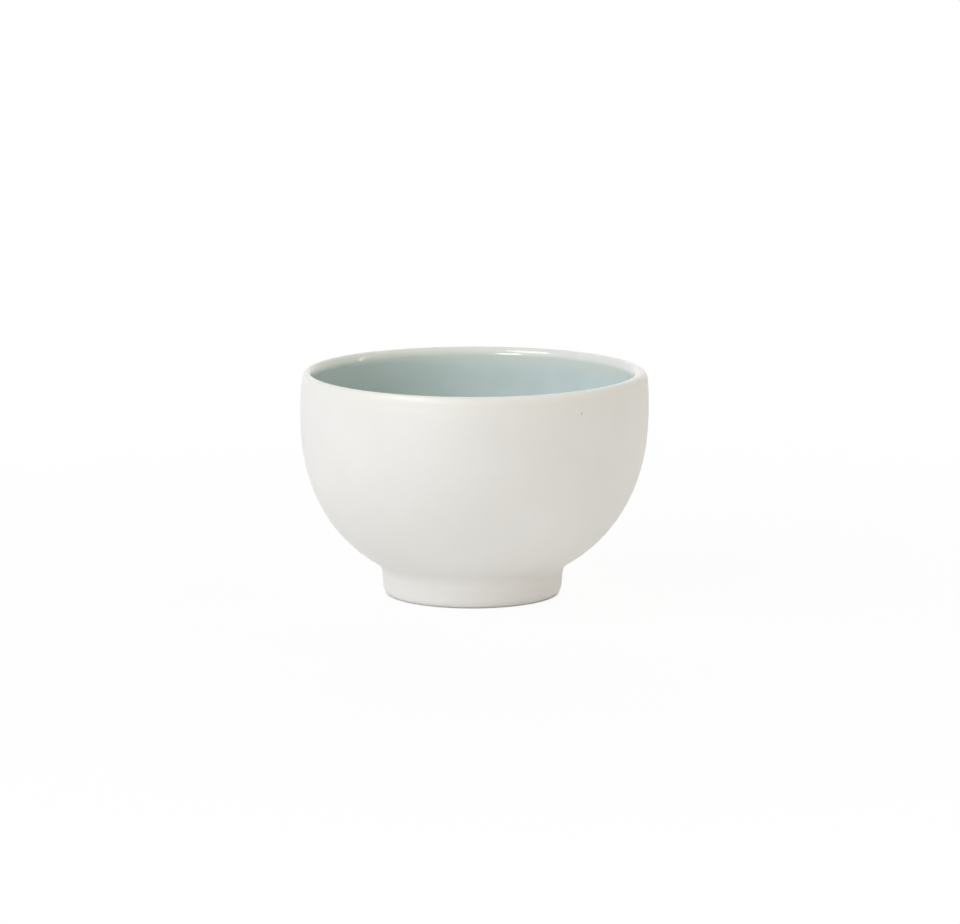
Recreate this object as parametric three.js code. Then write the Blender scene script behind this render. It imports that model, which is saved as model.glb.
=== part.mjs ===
// A footed ceramic bowl, put together as a potter does: a round porcelain body, a foot ring luted
// under it, a coloured glaze lining fired onto the inside, and a clear glaze band over the lip.
// Millimetres, +Z up. The origin is the middle of the foot, on the table.
import * as THREE from "three";

// Body, finished sizes with the glaze on
const HEIGHT = 74; // table to the top of the lip
const BELLY_DIAMETER = 115; // widest outside diameter
const BELLY_DROP = 13; // lip down to the widest level
const MOUTH_DRAW = 0.45; // how far the outside draws in from the belly up to the lip
const LIP_THICKNESS = 3.5; // of the wall where the round of the lip begins
const LIP_ROUND = 3.2; // height of that round, which is half an ellipse
const WALL = 4.2; // at the belly
const FLOOR_THICKNESS = 4.6; // at the middle of the bowl
const FULLNESS = 2.25; // power of the wall's superellipse: 2 is an ellipse, more is fuller
const ROUND_BOTTOM = 3; // table to where the outside curve would close under the bowl
const UNDERSIDE_FLAT = 36; // diameter of the flat turned inside the foot

// Foot ring
const FOOT_DIAMETER = 59.8; // outside, where the foot meets the body
const FOOT_TAPER = 0.5; // how far the outside draws in on its way down
const FOOT_WALL = 4.6; // thickness of the ring at the table
const FOOT_OUTER_ROUND = 1.6; // edge on the table, outside
const FOOT_INNER_ROUND = 0.9; // edge on the table, inside
const FOOT_FILLET = 2; // smoothed luting seam between foot and body

// Glaze
const GLAZE = 0.4; // thickness of both coats
const BAND_INSIDE = 0.8; // round of the lip down to where the coloured lining takes over, inside
const BAND_OUTSIDE = 1.3; // round of the lip down to the band's feathered edge, outside

// Facets
const TURN_STEPS = 60; // round the axis
const CURVE_STEPS = 12; // along the round of the wall
const SHORT_STEPS = 3; // along a gentle stretch
const ROUND_STEPS = 4; // round an edge
const LIP_STEPS = 6; // over the lip

// Levels and radii that follow from the sizes above
const bellyHeight = HEIGHT - BELLY_DROP;
const lipHeight = HEIGHT - LIP_ROUND;
const outerBelly = BELLY_DIAMETER / 2;
const innerBelly = outerBelly - WALL;
const outerMouth = outerBelly - MOUTH_DRAW;
const innerMouth = outerMouth - LIP_THICKNESS;
const footTop = FOOT_DIAMETER / 2;
const footBase = footTop - FOOT_TAPER;
const footBore = footBase - FOOT_WALL;
const outerDepth = bellyHeight - ROUND_BOTTOM;

const point = (radius, height) => new THREE.Vector2(radius, height);

// The steps from one value to another, both ends included.
function steps(from, to, count) {
  return Array.from({ length: count + 1 }, (_, i) => from + ((to - from) * i) / count);
}

// Points of a round: an arc of a circle, or of an upright ellipse if a height is given.
function arc(centre, radius, from, to, count, height = radius) {
  return steps(from, to, count).map((angle) =>
    point(centre.x + radius * Math.cos(angle), centre.y + height * Math.sin(angle)),
  );
}

// Below the belly the wall is a quarter superellipse: angle 0 is the belly, a quarter turn the axis.
function roundWall(belly, depth, from, to, count) {
  const share = 2 / FULLNESS;
  return steps(from, to, count).map((angle) =>
    point(belly * Math.cos(angle) ** share, bellyHeight - depth * Math.sin(angle) ** share),
  );
}

// The angle at which that wall has a given radius.
function angleAt(radius, belly) {
  return Math.acos((radius / belly) ** (FULLNESS / 2));
}

// Above the belly the wall leans in to the mouth along a parabola that leaves the belly upright.
function upperWall(belly, mouth, from, to) {
  return steps(from, to, SHORT_STEPS).map((height) => {
    const climb = (height - bellyHeight) / (lipHeight - bellyHeight);
    return point(belly + (mouth - belly) * climb ** 2, height);
  });
}

// Joins curves end to end, leaving out the first point of each later curve, which the one before ends on.
function join(...curves) {
  return curves.flatMap((curve, i) => (i ? curve.slice(1) : curve));
}

// Moves each point of a curve that starts on the axis into the clay, which lies on its right-hand side,
// by the depth that depthOf gives for the point and its place in the curve.
function inset(curve, depthOf) {
  return curve.map((here, i) => {
    const before = curve[i - 1] ?? point(-curve[1].x, curve[1].y);
    const after = curve[i + 1] ?? here;
    const along = after.clone().sub(before).normalize();
    const depth = depthOf(here, i);
    return point(here.x + along.y * depth, here.y - along.x * depth);
  });
}

// The outside of the body, from the clear band's edge down to the flat underside.
const bandEdge = lipHeight - BAND_OUTSIDE;
const seatStart = angleAt(footTop + FOOT_FILLET, outerBelly);
const seatEnd = angleAt(footBore, outerBelly);
const flatEdge = angleAt(UNDERSIDE_FLAT / 2, outerBelly);
const bareWall = join(
  upperWall(outerBelly, outerMouth, bandEdge, bellyHeight),
  roundWall(outerBelly, outerDepth, 0, seatStart, CURVE_STEPS),
);
const footSeat = roundWall(outerBelly, outerDepth, seatStart, seatEnd, SHORT_STEPS);
const underside = roundWall(outerBelly, outerDepth, seatEnd, flatEdge, SHORT_STEPS);
const flatHeight = underside.at(-1).y;

// The glazed surface, from the middle of the floor up the inside, over the lip and down to the band's edge.
const floorHeight = flatHeight + FLOOR_THICKNESS;
const liningEdge = lipHeight - BAND_INSIDE;
const liningFace = join(
  [point(0, floorHeight)],
  roundWall(innerBelly, bellyHeight - floorHeight, Math.PI / 2, 0, CURVE_STEPS),
  upperWall(innerBelly, innerMouth, bellyHeight, liningEdge),
);
const lipRadius = LIP_THICKNESS / 2;
const lipCentre = point(outerMouth - lipRadius, lipHeight);
const bandFace = join(
  upperWall(innerBelly, innerMouth, liningEdge, lipHeight),
  arc(lipCentre, lipRadius, Math.PI, 0, LIP_STEPS, LIP_ROUND),
  upperWall(outerBelly, outerMouth, lipHeight, bandEdge),
);
const glazeFace = join(liningFace, bandFace);

// The clay under the glaze. Outside, below the lip, the coat feathers out to nothing at the band's edge.
const feather = (height) => (height - bandEdge) / (lipHeight - bandEdge);
const skirtStart = glazeFace.length - SHORT_STEPS;
const glazedClay = inset(glazeFace, (here, i) =>
  i < skirtStart ? GLAZE : GLAZE * feather(here.y),
);
const liningClay = glazedClay.slice(0, liningFace.length);
const bandClay = glazedClay.slice(liningFace.length - 1);

// Turns a profile about the bowl's axis.
function turned(profile) {
  return new THREE.LatheGeometry(profile, TURN_STEPS).rotateX(Math.PI / 2);
}

function piece(name, profile, finish) {
  const mesh = new THREE.Mesh(turned(profile), new THREE.MeshStandardMaterial({ metalness: 0, ...finish }));
  mesh.name = name;
  return mesh;
}

// The porcelain body: one shell from the lip to the flat underside, bare outside.
function bowlBody() {
  const outline = join(glazedClay, bareWall, footSeat, underside, [underside.at(-1), point(0, flatHeight)]);
  return piece("bowl_body", outline.reverse(), { color: 0xefedea, roughness: 0.55 });
}

// The foot ring: its top takes the curve of the body, its seam is smoothed to a small fillet,
// and it stands on a flat band between two rounded edges.
function footRing() {
  const corner = roundWall(outerBelly, outerDepth, 0, angleAt(footTop, outerBelly), 1).at(-1);
  const innerRound = point(footBore + FOOT_INNER_ROUND, FOOT_INNER_ROUND);
  const outerRound = point(footBase - FOOT_OUTER_ROUND, FOOT_OUTER_ROUND);
  const seam = new THREE.QuadraticBezierCurve(
    point(footTop, corner.y - FOOT_FILLET),
    corner,
    footSeat[0],
  );
  const outline = [
    ...footSeat,
    ...arc(innerRound, FOOT_INNER_ROUND, Math.PI, 1.5 * Math.PI, ROUND_STEPS),
    ...arc(outerRound, FOOT_OUTER_ROUND, 1.5 * Math.PI, 2 * Math.PI, ROUND_STEPS),
    ...seam.getPoints(ROUND_STEPS),
  ];
  return piece("foot_ring", outline, { color: 0xedece7, roughness: 0.65 });
}

// The coloured glaze that lines the inside, from the middle of the floor to just under the lip.
function glazeLining() {
  const outline = [...liningFace, ...liningClay.toReversed()];
  return piece("glaze_lining", outline.reverse(), { color: 0xd3dddb, roughness: 0.12 });
}

// The clear glaze band over the lip: it butts onto the lining inside and feathers out outside.
function rimGlaze() {
  const outline = [...bandFace, ...bandClay.toReversed().slice(1), bandFace[0]];
  return piece("rim_glaze", outline.reverse(), { color: 0xebede2, roughness: 0.12 });
}

const bowl = new THREE.Group();
bowl.name = "footed_bowl";
bowl.add(bowlBody(), footRing(), glazeLining(), rimGlaze());

export default bowl;
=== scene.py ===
"""A footed porcelain bowl, matte outside, with a pale blue glaze lining and a clear glazed lip."""
import math
from functools import cached_property

import bmesh
import bpy
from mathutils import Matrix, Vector

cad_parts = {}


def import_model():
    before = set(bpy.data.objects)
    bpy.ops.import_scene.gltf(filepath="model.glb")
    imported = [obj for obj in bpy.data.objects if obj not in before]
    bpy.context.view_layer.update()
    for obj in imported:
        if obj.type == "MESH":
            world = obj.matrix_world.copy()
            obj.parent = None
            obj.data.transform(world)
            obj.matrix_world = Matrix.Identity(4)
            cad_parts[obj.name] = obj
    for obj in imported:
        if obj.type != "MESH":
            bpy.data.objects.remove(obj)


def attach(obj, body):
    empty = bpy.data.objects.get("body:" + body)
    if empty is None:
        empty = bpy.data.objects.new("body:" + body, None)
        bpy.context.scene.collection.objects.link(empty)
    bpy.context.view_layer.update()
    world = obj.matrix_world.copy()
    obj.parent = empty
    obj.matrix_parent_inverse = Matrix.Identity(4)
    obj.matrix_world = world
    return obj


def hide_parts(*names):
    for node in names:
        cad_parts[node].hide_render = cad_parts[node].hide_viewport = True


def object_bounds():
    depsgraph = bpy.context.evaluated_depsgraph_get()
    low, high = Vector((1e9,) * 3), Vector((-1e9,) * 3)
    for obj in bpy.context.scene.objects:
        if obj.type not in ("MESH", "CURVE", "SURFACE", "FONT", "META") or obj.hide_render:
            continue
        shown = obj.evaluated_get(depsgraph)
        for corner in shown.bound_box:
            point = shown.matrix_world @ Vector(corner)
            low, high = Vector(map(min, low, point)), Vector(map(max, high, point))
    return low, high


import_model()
cad_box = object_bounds()

MM = 0.001

# Sizes of the bowl: the outer ones come from the frame, the rest repeat the part's own dimensions
HEIGHT = cad_box[1].z
OUTER_BELLY = cad_box[1].x  # radius of the outside at its widest level
BELLY_DROP = 13 * MM  # lip down to the widest level
MOUTH_DRAW = 0.45 * MM  # how far the outside draws in from the belly up to the lip
LIP_THICKNESS = 3.5 * MM
LIP_ROUND = 3.2 * MM  # height of the lip's round, which is half an ellipse
WALL = 4.2 * MM  # at the belly
FLOOR_THICKNESS = 4.6 * MM
FULLNESS = 2.25  # power of the wall's superellipse
ROUND_BOTTOM = 3 * MM  # table to where the outside curve would close under the bowl
UNDERSIDE_FLAT = 36 * MM  # diameter of the flat turned inside the foot
FOOT_DIAMETER = 59.8 * MM  # outside, where the foot meets the body
FOOT_TAPER = 0.5 * MM
FOOT_WALL = 4.6 * MM
FOOT_OUTER_ROUND = 1.6 * MM  # from the foot's side in to the flat band it stands on
FOOT_INNER_ROUND = 0.9 * MM
GLAZE = 0.4 * MM  # thickness of both coats
BAND_INSIDE = 0.8 * MM  # from the lip's round down to the edge of the blue lining
BAND_OUTSIDE = 1.3 * MM  # from the lip's round down to the clear band's feathered edge

# Levels and radii that follow from them
BELLY_HEIGHT = HEIGHT - BELLY_DROP
LIP_HEIGHT = HEIGHT - LIP_ROUND
INNER_BELLY = OUTER_BELLY - WALL
OUTER_MOUTH = OUTER_BELLY - MOUTH_DRAW
INNER_MOUTH = OUTER_MOUTH - LIP_THICKNESS
LIP_RADIUS = LIP_THICKNESS / 2
LIP_CENTRE = OUTER_MOUTH - LIP_RADIUS
FOOT_TOP = FOOT_DIAMETER / 2
FOOT_BASE = FOOT_TOP - FOOT_TAPER
FOOT_BORE = FOOT_BASE - FOOT_WALL
OUTER_DEPTH = BELLY_HEIGHT - ROUND_BOTTOM

# The bowl as it came from the hand, with a softer foot than the part's and not quite true
FOOT_FILLET = 3.2 * MM  # smoothed seam between foot and body
FOOT_EDGE_WIDTH = 1.85 * MM  # sponged round of the foot's outer edge
FOOT_EDGE_HEIGHT = 3.2 * MM
LEAN = 0.9 * MM  # of the axis to the right, from the table to the lip
RIM_SLOPE = 0.001  # up to the right
RIM_RISE = 0.25 * MM  # of the lip's two sides over its front and back
THICK_SIDE = 1.6 * MM  # more wall at the right of the lip

# Fineness of the turned meshes
TURN_STEPS = 192  # round the axis
CURVE_STEPS = 60  # along the round of the wall
SHORT_STEPS = 10  # along a gentle stretch
ROUND_STEPS = 10  # round an edge
LIP_STEPS = 36  # over the lip
ON_AXIS = 1e-7  # a point with a smaller radius lies on the axis
SHARP_EDGE = math.radians(35)

# The camera of the photograph, fitted to the bowl's outline
PHOTO_WIDTH, PHOTO_HEIGHT = 960, 924
VIEW_DISTANCE = 1.5
VIEW_ELEVATION = math.radians(10.05)
PIXELS_PER_METRE = 3021.3  # at the bowl's axis
AXIS_PIXEL = (473.6, 481.4)  # where the middle of the axis lands
SENSOR_WIDTH = 36


def steps(start, end, count):
    """The steps from one value to another, both ends included."""
    return [start + (end - start) * i / count for i in range(count + 1)]


def arc(centre, radius, start, end, count, height=None):
    """Points of a round: an arc of a circle, or of an upright ellipse if a height is given."""
    height = radius if height is None else height
    return [
        (centre[0] + radius * math.cos(a), centre[1] + height * math.sin(a))
        for a in steps(start, end, count)
    ]


def round_wall(belly, depth, start, end, count):
    """The wall below the belly, a superellipse from angle 0 there to a quarter turn on the axis."""
    share = 2 / FULLNESS
    return [
        (belly * max(0, math.cos(a)) ** share, BELLY_HEIGHT - depth * max(0, math.sin(a)) ** share)
        for a in steps(start, end, count)
    ]


def angle_at(radius, belly):
    """The angle at which that wall has a given radius."""
    return math.acos((radius / belly) ** (FULLNESS / 2))


def upper_wall(belly, mouth, start, end):
    """The wall above the belly, which leans to the mouth along a parabola."""
    rise = LIP_HEIGHT - BELLY_HEIGHT
    return [
        (belly + (mouth - belly) * ((z - BELLY_HEIGHT) / rise) ** 2, z)
        for z in steps(start, end, SHORT_STEPS)
    ]


def join(*curves):
    """Curves end to end, without the repeated point where one meets the next."""
    whole = list(curves[0])
    for curve in curves[1:]:
        whole += curve[1:]
    return whole


def inset(curve, depths):
    """Each point of a curve that starts on the axis, moved into the clay on its right-hand side."""
    moved = []
    for i, (here, depth) in enumerate(zip(curve, depths)):
        before = curve[i - 1] if i else (-curve[1][0], curve[1][1])
        after = curve[i + 1] if i + 1 < len(curve) else here
        along = Vector((after[0] - before[0], after[1] - before[1])).normalized()
        moved.append((here[0] + along.y * depth, here[1] - along.x * depth))
    return moved


# The outside, from the clear band's edge down to the flat underside
band_edge = LIP_HEIGHT - BAND_OUTSIDE
seat_start = angle_at(FOOT_TOP + FOOT_FILLET, OUTER_BELLY)
seat_end = angle_at(FOOT_BORE, OUTER_BELLY)
flat_edge = angle_at(UNDERSIDE_FLAT / 2, OUTER_BELLY)
bare_wall = join(
    upper_wall(OUTER_BELLY, OUTER_MOUTH, band_edge, BELLY_HEIGHT),
    round_wall(OUTER_BELLY, OUTER_DEPTH, 0, seat_start, CURVE_STEPS),
)
foot_seat = round_wall(OUTER_BELLY, OUTER_DEPTH, seat_start, seat_end, SHORT_STEPS)
underside = round_wall(OUTER_BELLY, OUTER_DEPTH, seat_end, flat_edge, SHORT_STEPS)
flat_height = underside[-1][1]

# The glazed surface, from the middle of the floor up the inside, over the lip and down to the
# band's edge
floor_height = flat_height + FLOOR_THICKNESS
lining_edge = LIP_HEIGHT - BAND_INSIDE
lining_face = join(
    [(0, floor_height)],
    round_wall(INNER_BELLY, BELLY_HEIGHT - floor_height, math.pi / 2, 0, CURVE_STEPS),
    upper_wall(INNER_BELLY, INNER_MOUTH, BELLY_HEIGHT, lining_edge),
)
band_face = join(
    upper_wall(INNER_BELLY, INNER_MOUTH, lining_edge, LIP_HEIGHT),
    arc((LIP_CENTRE, LIP_HEIGHT), LIP_RADIUS, math.pi, 0, LIP_STEPS, LIP_ROUND),
    upper_wall(OUTER_BELLY, OUTER_MOUTH, LIP_HEIGHT, band_edge),
)
glaze_face = join(lining_face, band_face)

# The clay under the glaze. Outside, the coat feathers out to nothing at the band's edge
skirt_start = len(glaze_face) - SHORT_STEPS
glaze_depths = [
    GLAZE if i < skirt_start else GLAZE * (p[1] - band_edge) / (LIP_HEIGHT - band_edge)
    for i, p in enumerate(glaze_face)
]
glazed_clay = inset(glaze_face, glaze_depths)
lining_clay = glazed_clay[: len(lining_face)]
band_clay = glazed_clay[len(lining_face) - 1 :]


def wall_radius(height, belly, depth, mouth):
    """The radius of the inside or the outside at a height."""
    if height > BELLY_HEIGHT:
        climb = min(1, (height - BELLY_HEIGHT) / (LIP_HEIGHT - BELLY_HEIGHT))
        return belly + (mouth - belly) * climb**2
    fall = min(1, (BELLY_HEIGHT - height) / depth)
    return belly * (1 - fall**FULLNESS) ** (1 / FULLNESS)


def settled(radius, turn, height):
    """The place of a turned point in the bowl as it came from the hand, a little out of true."""
    rise, side = height / HEIGHT, math.cos(turn)
    if height > floor_height:
        outer = wall_radius(height, OUTER_BELLY, OUTER_DEPTH, OUTER_MOUTH)
        inner = wall_radius(height, INNER_BELLY, BELLY_HEIGHT - floor_height, INNER_MOUTH)
        inward = min(1, max(0, (outer - radius) / (outer - inner)))
        radius -= inward * THICK_SIDE * side * (1 + side) / 2 * rise**2
    x, y = radius * math.cos(turn), radius * math.sin(turn)
    return x + LEAN * (rise - 0.5), y, height + rise * (RIM_SLOPE * x + RIM_RISE * side**2)


def turned(name, profile, node):
    """A closed body turned about the bowl's axis. It stands for a CAD node, whose part it hides."""
    mesh = bpy.data.meshes.new(name)
    bm = bmesh.new()
    rings = []
    for radius, height in profile:
        if radius < ON_AXIS:
            rings.append([bm.verts.new(settled(0, 0, height))])
            continue
        turns = [2 * math.pi * i / TURN_STEPS for i in range(TURN_STEPS)]
        rings.append([bm.verts.new(settled(radius, t, height)) for t in turns])
    closed = len(rings[0]) > 1
    pairs = zip(rings, rings[1:] + rings[:1] if closed else rings[1:])
    for lower, upper in pairs:
        for i in range(TURN_STEPS):
            j = (i + 1) % TURN_STEPS
            if len(lower) == 1:
                bm.faces.new((lower[0], upper[j], upper[i]))
            elif len(upper) == 1:
                bm.faces.new((lower[i], lower[j], upper[0]))
            else:
                bm.faces.new((lower[i], lower[j], upper[j], upper[i]))
    bmesh.ops.recalc_face_normals(bm, faces=bm.faces)
    bm.to_mesh(mesh)
    bm.free()
    mesh.shade_smooth()
    mesh.set_sharp_from_angle(angle=SHARP_EDGE)
    piece = bpy.data.objects.new(name, mesh)
    bpy.context.scene.collection.objects.link(piece)
    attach(piece, "root")
    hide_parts(node)
    return piece


def foot_profile():
    """The foot ring: its seat, two rounded edges with a flat band between them, and its seam."""
    corner = round_wall(OUTER_BELLY, OUTER_DEPTH, 0, angle_at(FOOT_TOP, OUTER_BELLY), 1)[-1]
    start, end = (FOOT_TOP, corner[1] - FOOT_FILLET), foot_seat[0]
    seam = [
        tuple(
            (1 - t) ** 2 * a + 2 * t * (1 - t) * b + t * t * c
            for a, b, c in zip(start, corner, end)
        )
        for t in steps(0, 1, ROUND_STEPS)
    ]
    inner = (FOOT_BORE + FOOT_INNER_ROUND, FOOT_INNER_ROUND)
    outer = (FOOT_BASE - FOOT_OUTER_ROUND, FOOT_EDGE_HEIGHT)
    down = 1.5 * math.pi
    return [
        *foot_seat,
        *arc(inner, FOOT_INNER_ROUND, math.pi, down, ROUND_STEPS),
        *arc(outer, FOOT_EDGE_WIDTH, down, 2 * math.pi, ROUND_STEPS, FOOT_EDGE_HEIGHT),
        *seam[:-1],
    ]


body = turned(
    "porcelain_body",
    join(glazed_clay, bare_wall, foot_seat, underside, [underside[-1], (0, flat_height)]),
    "bowl_body",
)
foot = turned("luted_foot", foot_profile(), "foot_ring")
lining = turned("blue_lining", lining_face + lining_clay[::-1], "glaze_lining")
rim = turned("clear_rim_band", band_face + band_clay[::-1][1:], "rim_glaze")


class Tree:
    """The node tree of a material or a world, with short ways to add and link its nodes."""

    MIX_A, MIX_B, MIX_RESULT = 6, 7, 2  # the Mix node's sockets for colour

    def __init__(self, owner):
        owner.use_nodes = True
        self.owner = owner
        self.nodes = owner.node_tree.nodes
        self.links = owner.node_tree.links

    @cached_property
    def place(self):
        """The coordinates of a place on the surface, in the object's own frame."""
        return self.node("ShaderNodeTexCoord").outputs["Object"]

    def node(self, kind, **settings):
        made = self.nodes.new(kind)
        for key, value in settings.items():
            setattr(made, key, value)
        return made

    def feed(self, socket, value):
        """Gives a socket a number or colour, or links an output to it."""
        if isinstance(value, bpy.types.NodeSocket):
            self.links.new(value, socket)
        else:
            socket.default_value = value

    def fed(self, made, *values):
        """A node with its first inputs fed in order."""
        for socket, value in zip(made.inputs, values):
            self.feed(socket, value)
        return made

    def math(self, operation, *values):
        made = self.node("ShaderNodeMath", operation=operation)
        return self.fed(made, *values).outputs[0]

    def vector(self, operation, *values):
        made = self.node("ShaderNodeVectorMath", operation=operation)
        return self.fed(made, *values).outputs["Value" if operation == "LENGTH" else "Vector"]

    def ramp(self, value, low, high, to_low=0.0, to_high=1.0):
        """A smooth change from one value to another while the input goes from low to high."""
        made = self.node("ShaderNodeMapRange", interpolation_type="SMOOTHSTEP")
        return self.fed(made, value, low, high, to_low, to_high).outputs[0]

    def noise(self, scale, detail, rough, place=None):
        made = self.node("ShaderNodeTexNoise")
        self.feed(made.inputs["Vector"], place or self.place)
        self.feed(made.inputs["Scale"], scale)
        self.feed(made.inputs["Detail"], detail)
        self.feed(made.inputs["Roughness"], rough)
        return made.outputs["Fac"]

    def mix(self, factor, a, b):
        """Colour a where the factor is 0 and colour b where it is 1."""
        made = self.node("ShaderNodeMix", data_type="RGBA")
        self.feed(made.inputs["Factor"], factor)
        self.feed(made.inputs[self.MIX_A], a)
        self.feed(made.inputs[self.MIX_B], b)
        return made.outputs[self.MIX_RESULT]

    def blend(self, factor, a, b):
        """Shader a where the factor is 0 and shader b where it is 1."""
        return self.fed(self.node("ShaderNodeMixShader"), factor, a, b).outputs[0]

    def bump(self, height, strength, distance, under=None):
        made = self.node("ShaderNodeBump")
        self.feed(made.inputs["Strength"], strength)
        self.feed(made.inputs["Distance"], distance)
        self.feed(made.inputs["Height"], height)
        if under:
            self.feed(made.inputs["Normal"], under)
        return made.outputs["Normal"]

    def along(self, axis):
        """How far along an axis a place is."""
        return self.fed(self.node("ShaderNodeSeparateXYZ"), self.place).outputs[axis]

    def drop(self):
        """How far below the lip a place is."""
        return self.math("SUBTRACT", HEIGHT, self.along("Z"))

    def seen(self):
        """1 for what is seen, straight, mirrored or through something clear, and 0 for light."""
        path = self.node("ShaderNodeLightPath")
        rays = [path.outputs[f"Is {ray} Ray"] for ray in ("Camera", "Glossy", "Transmission")]
        return self.math("MAXIMUM", self.math("MAXIMUM", *rays[:2]), rays[2])


PORCELAIN = (0.86, 0.85, 0.82, 1)
PORCELAIN_SHADE = (0.845, 0.833, 0.798, 1)
PORCELAIN_CREAM = (0.86, 0.845, 0.775, 1)
GROUND_CLAY = (0.70, 0.66, 0.57, 1)
SPECK = (0.20, 0.17, 0.13, 1)
BLUE = (0.695, 0.785, 0.775, 1)
BLUE_DEEP = (0.517, 0.588, 0.562, 1)
BLUE_THIN = (0.735, 0.785, 0.74, 1)
CLEAR = (0.83, 0.853, 0.775, 1)
CREST = (0.81, 0.82, 0.76, 1)
PALE_FLOOR = (0.9, 0.9, 0.89, 1)
WHITE = (1, 1, 1, 1)

MATTE, GLOSS = 0.55, 0.07  # roughness
MATTE_SPREAD = 0.04  # how far the clay's roughness strays from it
CERAMIC_IOR = 1.5

# Noises: cells to the metre, detail and roughness
CLAY_CLOUDS = (45, 3, 0.55)
CLAY_SHEEN = (160, 4, 0.6)
CLAY_WAVES = (220, 2, 0.5)
CLAY_GRAIN = (2600, 3, 0.6)  # of porcelain that was sponged and fired bare
GLAZE_CLOUDS = (70, 3, 0.5)
GLAZE_FLOW = (110, 2, 0.5)
GLAZE_RIPPLES = (150, 1, 0.4)
RIPPLE_STRETCH = (1, 1, 2.2)
NOISE_SPAN = (0.3, 0.7)  # most of a noise's values lie between these
NOISE_MEAN = 0.5

# Bumps: strength and depth
WAVE_BUMP = (0.2, 0.03 * MM)
GRAIN_BUMP = (0.25, 0.02 * MM)
RIPPLE_BUMP = (0.3, 0.06 * MM)

# Bare clay
CREAM_DROP = (1 * MM, 10 * MM)  # below the lip, where the creamier tone fades out
CREAM_SHARE = 0.5
SPECK_CELLS = 95  # to the metre
SPECK_PICK = 0.93  # cells whose random value is higher have a speck
SPECK_EDGE = (0.012, 0.02)  # in cells
SPECK_SHARE = 0.35
LONE_SPECK_PLACE = (34.6 * MM, -45.95 * MM, 67.1 * MM)
LONE_SPECK_SQUEEZE = (1, 1, 0.85)
LONE_SPECK_EDGE = (0.15 * MM, 0.65 * MM)
LONE_SPECK_SHARE = 0.28
GROUND_HEIGHT = (0.05 * MM, 0.3 * MM)  # over the table, where the ground ring ends
GROUND_GRAIN = (0.2, 0.8, 0.5, 1.0)  # from these grain values to these shares of ground clay

# Glaze, by the drop below the lip and the distance across from left to right
CREST_DROP = (0.2 * MM, 1.2 * MM)  # where the tone of the lip's crest fades out
THIN_DROP = (1.5 * MM, 3.2 * MM)  # where the clear glaze turns to thin blue
BLUE_DROP = 2.6 * MM  # where the thin blue begins to deepen
FULL_BLUE_DROP = (4.0 * MM, 9.0 * MM)  # where it has its full depth, at the left and at the right
FULL_BLUE_ACROSS = (-54 * MM, 30 * MM)
FLOW_REACH = 0.9 * MM  # how far these levels wander up and down
LEFT_SHADE_ACROSS = (-54 * MM, 0.0)  # painted shade: the inside is darkened towards the left, which faces away from the key lights
LEFT_SHADE_CLIMB = 0.6 * MM  # and the blue climbs higher there, painted shade on the lip's band too
RIGHT_LIGHT_ACROSS = (10 * MM, 54 * MM)  # painted light: the lip's coat is paled to the porcelain colour towards the right, which faces the key lights
CLOUD_SHARE = 0.2
POOL_DEPTH = 18 * MM  # over the floor, where the deeper blue of the bottom fades out
POOL_SHARE = 0.8
OUTSIDE_RADIUS = (LIP_CENTRE - 0.3 * MM, LIP_CENTRE + 1.1 * MM)  # where clay colour takes over
BARE_DROP = (-1.4 * MM, 2.8 * MM)  # where the gloss fades out, outside


def clay_colour(t):
    """Bare porcelain: faint clouding, a creamier tone towards the lip and sparse iron specks."""
    cloud = t.ramp(t.noise(*CLAY_CLOUDS), *NOISE_SPAN)
    colour = t.mix(cloud, PORCELAIN, PORCELAIN_SHADE)
    colour = t.mix(t.ramp(t.drop(), *CREAM_DROP, CREAM_SHARE, 0.0), colour, PORCELAIN_CREAM)
    cells = t.node("ShaderNodeTexVoronoi", feature="F1")
    t.feed(cells.inputs["Vector"], t.place)
    t.feed(cells.inputs["Scale"], SPECK_CELLS)
    pick = t.fed(t.node("ShaderNodeSeparateColor"), cells.outputs["Color"]).outputs[0]
    chosen = t.math("GREATER_THAN", pick, SPECK_PICK)
    dot = t.ramp(cells.outputs["Distance"], *SPECK_EDGE, SPECK_SHARE, 0.0)
    colour = t.mix(t.math("MULTIPLY", dot, chosen), colour, SPECK)
    away = t.vector("SUBTRACT", t.place, LONE_SPECK_PLACE)
    away = t.vector("LENGTH", t.vector("MULTIPLY", away, LONE_SPECK_SQUEEZE))
    return t.mix(t.ramp(away, *LONE_SPECK_EDGE, LONE_SPECK_SHARE, 0.0), colour, SPECK)


def fired(t, colour, roughness, normal):
    """Gives a tree's shader its inputs, and returns the material."""
    shader = t.nodes["Principled BSDF"]
    t.feed(shader.inputs["Base Color"], colour)
    t.feed(shader.inputs["Roughness"], roughness)
    t.feed(shader.inputs["Normal"], normal)
    shader.inputs["IOR"].default_value = CERAMIC_IOR
    return t.owner


def porcelain(name, ground_foot=False):
    """Matte bare porcelain. A foot has a ring that was ground flat, where the clay is darker."""
    t = Tree(bpy.data.materials.new(name))
    colour = clay_colour(t)
    grain = t.noise(*CLAY_GRAIN)
    if ground_foot:
        worn = t.ramp(t.along("Z"), *GROUND_HEIGHT, 1.0, 0.0)
        worn = t.math("MULTIPLY", worn, t.ramp(grain, *GROUND_GRAIN))
        colour = t.mix(worn, colour, GROUND_CLAY)
    sheen = t.noise(*CLAY_SHEEN)
    roughness = t.ramp(sheen, *NOISE_SPAN, MATTE - MATTE_SPREAD, MATTE + MATTE_SPREAD)
    waves = t.bump(t.noise(*CLAY_WAVES), *WAVE_BUMP)
    return fired(t, colour, roughness, t.bump(grain, *GRAIN_BUMP, waves))


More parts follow.
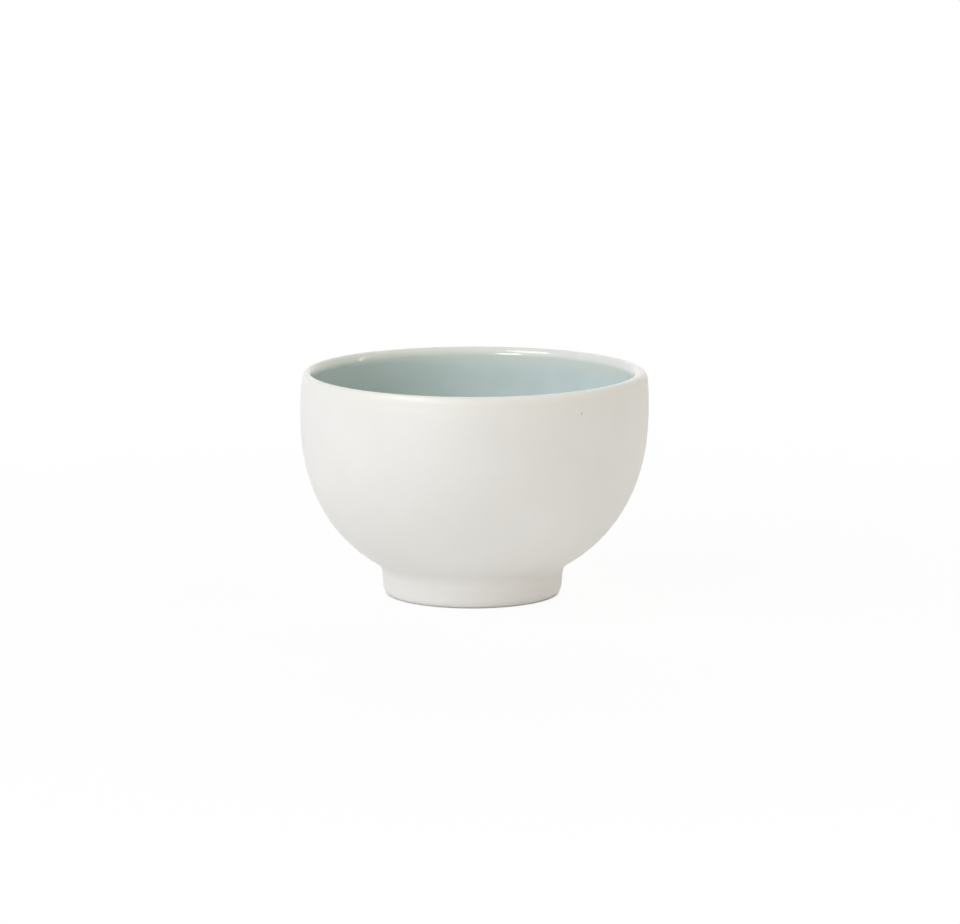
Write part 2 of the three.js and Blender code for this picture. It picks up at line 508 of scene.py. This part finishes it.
def glaze_colour(t):
    """Clear at the lip, running into pale blue below it and deeper on the floor, with painted shade
    at the left and painted light over the lip at the right.
    """
    across = t.along("X")
    # Painted shade: the glaze is darkened towards the left side, which the key lights do not reach
    left_shade = t.ramp(across, *LEFT_SHADE_ACROSS, 1.0, 0.0)
    cloud = t.ramp(t.noise(*GLAZE_CLOUDS), *NOISE_SPAN, 0.0, CLOUD_SHARE)
    blue = t.mix(left_shade, t.mix(cloud, BLUE, BLUE_DEEP), BLUE_DEEP)
    pool = t.ramp(t.along("Z"), floor_height, floor_height + POOL_DEPTH, POOL_SHARE, 0.0)
    blue = t.mix(pool, blue, BLUE_DEEP)
    flow = t.math("SUBTRACT", t.noise(*GLAZE_FLOW), NOISE_MEAN)
    drop = t.math("ADD", t.drop(), t.math("MULTIPLY", flow, FLOW_REACH))
    drop = t.math("ADD", drop, t.math("MULTIPLY", left_shade, LEFT_SHADE_CLIMB))
    colour = t.mix(t.ramp(drop, *CREST_DROP), CREST, CLEAR)
    # Painted light: the lip's coat is paled towards the right, which faces the key lights
    colour = t.mix(t.ramp(across, *RIGHT_LIGHT_ACROSS), colour, PORCELAIN)
    colour = t.mix(t.ramp(drop, *THIN_DROP), colour, BLUE_THIN)
    full_blue = t.ramp(across, *FULL_BLUE_ACROSS, *FULL_BLUE_DROP)
    return t.mix(t.ramp(drop, BLUE_DROP, full_blue), colour, blue)


def ripples(t):
    """The slight unevenness of a glaze that ran."""
    return t.noise(*GLAZE_RIPPLES, t.vector("MULTIPLY", t.place, RIPPLE_STRETCH))


def lining_glaze(name):
    """The glossy glaze of the inside."""
    t = Tree(bpy.data.materials.new(name))
    return fired(t, glaze_colour(t), GLOSS, t.bump(ripples(t), *RIPPLE_BUMP))


def lip_glaze(name):
    """The same glaze over the lip, where it thins out to bare porcelain on the outside."""
    t = Tree(bpy.data.materials.new(name))
    level = t.vector("MULTIPLY", t.vector("SUBTRACT", t.place, (LEAN / 2, 0, 0)), (1, 1, 0))
    outside = t.ramp(t.vector("LENGTH", level), *OUTSIDE_RADIUS)
    colour = t.mix(outside, glaze_colour(t), clay_colour(t))
    bare = t.math("MULTIPLY", outside, t.ramp(t.drop(), *BARE_DROP))
    roughness = t.math("ADD", GLOSS, t.math("MULTIPLY", bare, MATTE - GLOSS))
    strength, depth = RIPPLE_BUMP
    coated = t.math("MULTIPLY", t.math("SUBTRACT", 1.0, bare), strength)
    coat = t.bump(ripples(t), coated, depth)
    strength, depth = GRAIN_BUMP
    normal = t.bump(t.noise(*CLAY_GRAIN), t.math("MULTIPLY", bare, strength), depth, coat)
    return fired(t, colour, roughness, normal)


body.data.materials.append(porcelain("matte_porcelain"))
foot.data.materials.append(porcelain("ground_foot_porcelain", ground_foot=True))
lining.data.materials.append(lining_glaze("blue_lining_glaze"))
rim.data.materials.append(lip_glaze("clear_rim_glaze"))

# Floor, world and lamps
FLOOR_RADIUS = 12
FLOOR_SIDES = 64
FLOOR_SINK = 0.02 * MM  # under the foot
CONTACT_RADIUS = (FOOT_BASE - 1.1 * MM, FOOT_BASE - 0.1 * MM)  # where the contact shade fades out
CONTACT_SHARE = 0.9  # of real shading under the foot's edge
SHADE_RADIUS = (0.12, 0.45)  # where the shade round the bowl fades out
SHADE_SHARE = 0.06  # of real shading there
WORLD_STRENGTH = 0.2
LAMP_DISTANCE = 1.6
LAMP_SIZE = (0.8, 0.8)
DAYLIGHT = (0.985, 0.99, 1.0)
WARM = (1.0, 0.98, 0.95)


def floor_material():
    """Plain white to the camera, with a share of real shading that keeps the bowl's shadow.
    From below the floor is clear."""
    t = Tree(bpy.data.materials.new("white_floor"))
    t.nodes.remove(t.nodes["Principled BSDF"])
    shaded = t.node("ShaderNodeBsdfDiffuse")
    shaded.inputs["Color"].default_value = PALE_FLOOR
    white = t.node("ShaderNodeEmission")
    white.inputs["Color"].default_value = WHITE
    clear = t.node("ShaderNodeBsdfTransparent")
    below = t.node("ShaderNodeNewGeometry").outputs["Backfacing"]
    reach = t.vector("LENGTH", t.vector("ADD", t.place, (LEAN / 2, 0, 0)))
    contact = t.ramp(reach, *CONTACT_RADIUS, CONTACT_SHARE, 0.0)
    real = t.math("ADD", contact, t.ramp(reach, *SHADE_RADIUS, SHADE_SHARE, 0.0))
    plain = t.math("MULTIPLY", t.seen(), t.math("SUBTRACT", 1.0, real))
    above = t.blend(plain, shaded.outputs[0], white.outputs[0])
    surface = t.blend(below, above, clear.outputs[0])
    t.feed(t.nodes["Material Output"].inputs["Surface"], surface)
    return t.owner


def floor():
    mesh = bpy.data.meshes.new("floor")
    bm = bmesh.new()
    bmesh.ops.create_circle(bm, cap_ends=True, segments=FLOOR_SIDES, radius=FLOOR_RADIUS)
    bm.to_mesh(mesh)
    bm.free()
    plane = bpy.data.objects.new("floor", mesh)
    plane.location.z = -FLOOR_SINK
    mesh.materials.append(floor_material())
    bpy.context.scene.collection.objects.link(plane)


def world():
    """The studio's dim even light. The camera and reflections see plain white instead."""
    made = bpy.data.worlds.new("studio")
    bpy.context.scene.world = made
    t = Tree(made)
    dim = t.nodes["Background"]
    dim.inputs["Color"].default_value = WHITE
    dim.inputs["Strength"].default_value = WORLD_STRENGTH
    white = t.node("ShaderNodeBackground")
    white.inputs["Color"].default_value = WHITE
    surface = t.blend(t.seen(), dim.outputs[0], white.outputs[0])
    t.feed(t.nodes["World Output"].inputs["Surface"], surface)


def softbox(name, azimuth, elevation, power, colour, size=LAMP_SIZE, glint=False):
    """A rectangular lamp that faces the bowl. Azimuth 0 is behind the camera and grows to the
    right. A glint only shows in reflections, and any other lamp only gives diffuse light."""
    a, e = math.radians(azimuth), math.radians(elevation)
    away = Vector((math.sin(a) * math.cos(e), -math.cos(a) * math.cos(e), math.sin(e)))
    lamp = bpy.data.lights.new(name, "AREA")
    lamp.shape = "RECTANGLE"
    lamp.size, lamp.size_y = size
    lamp.energy = power
    lamp.color = colour
    made = bpy.data.objects.new(name, lamp)
    made.visible_camera = False
    made.visible_diffuse = not glint
    made.visible_glossy = glint
    made.location = Vector((0, 0, HEIGHT / 2)) + away * LAMP_DISTANCE
    made.rotation_mode = "QUATERNION"
    made.rotation_quaternion = (-away).to_track_quat("-Z", "Y")
    bpy.context.scene.collection.objects.link(made)


def lamps():
    """Three soft lights from the left, two weaker and warmer ones from the right, a low one in
    front and one behind, and the three bright shapes that the glaze mirrors."""
    softbox("key_high", -60, 55, power=4.9, colour=(0.885, 0.955, 1.0))
    softbox("key_front", -40, 25, power=5.7, colour=(0.975, 1.0, 0.97))
    softbox("key_left", -80, 35, power=6.8, colour=(0.94, 0.905, 1.0))
    softbox("right_top", 60, 45, power=3.3, colour=(1.0, 0.935, 0.77))
    softbox("right_back", 120, 45, power=4.7, colour=(1.0, 0.96, 0.87))
    softbox("front_low", 20, 3, power=4.8, colour=(1.0, 0.935, 0.93), size=(1.6, 0.3))
    softbox("back_low", 180, 20, power=10.0, colour=(1.0, 1.0, 1.0))
    softbox("window_glint", -50, 41, power=9.0, colour=DAYLIGHT, size=(0.78, 0.55), glint=True)
    softbox("low_glint", -28, 15.5, power=5.0, colour=DAYLIGHT, size=(0.5, 0.26), glint=True)
    softbox("side_glint", 92, 12, power=1.15, colour=WARM, size=(0.09, 0.8), glint=True)


def camera():
    data = bpy.data.cameras.new("camera")
    data.sensor_fit = "HORIZONTAL"
    data.sensor_width = SENSOR_WIDTH
    data.lens = PIXELS_PER_METRE * VIEW_DISTANCE / PHOTO_WIDTH * SENSOR_WIDTH
    made = bpy.data.objects.new("camera", data)
    back = Vector((0, -math.cos(VIEW_ELEVATION), math.sin(VIEW_ELEVATION)))
    up = Vector((0, math.sin(VIEW_ELEVATION), math.cos(VIEW_ELEVATION)))
    middle = Vector((0, 0, HEIGHT / 2))
    right_of = (PHOTO_WIDTH / 2 - AXIS_PIXEL[0]) / PIXELS_PER_METRE
    above = (AXIS_PIXEL[1] - PHOTO_HEIGHT / 2) / PIXELS_PER_METRE
    made.location = middle + back * VIEW_DISTANCE
    aim = middle + Vector((right_of, 0, 0)) + up * above
    made.rotation_mode = "QUATERNION"
    made.rotation_quaternion = (aim - made.location).to_track_quat("-Z", "Y")
    bpy.context.scene.collection.objects.link(made)
    bpy.context.scene.camera = made


floor()
world()
lamps()
camera()
bpy.context.scene.view_settings.view_transform = "Standard"
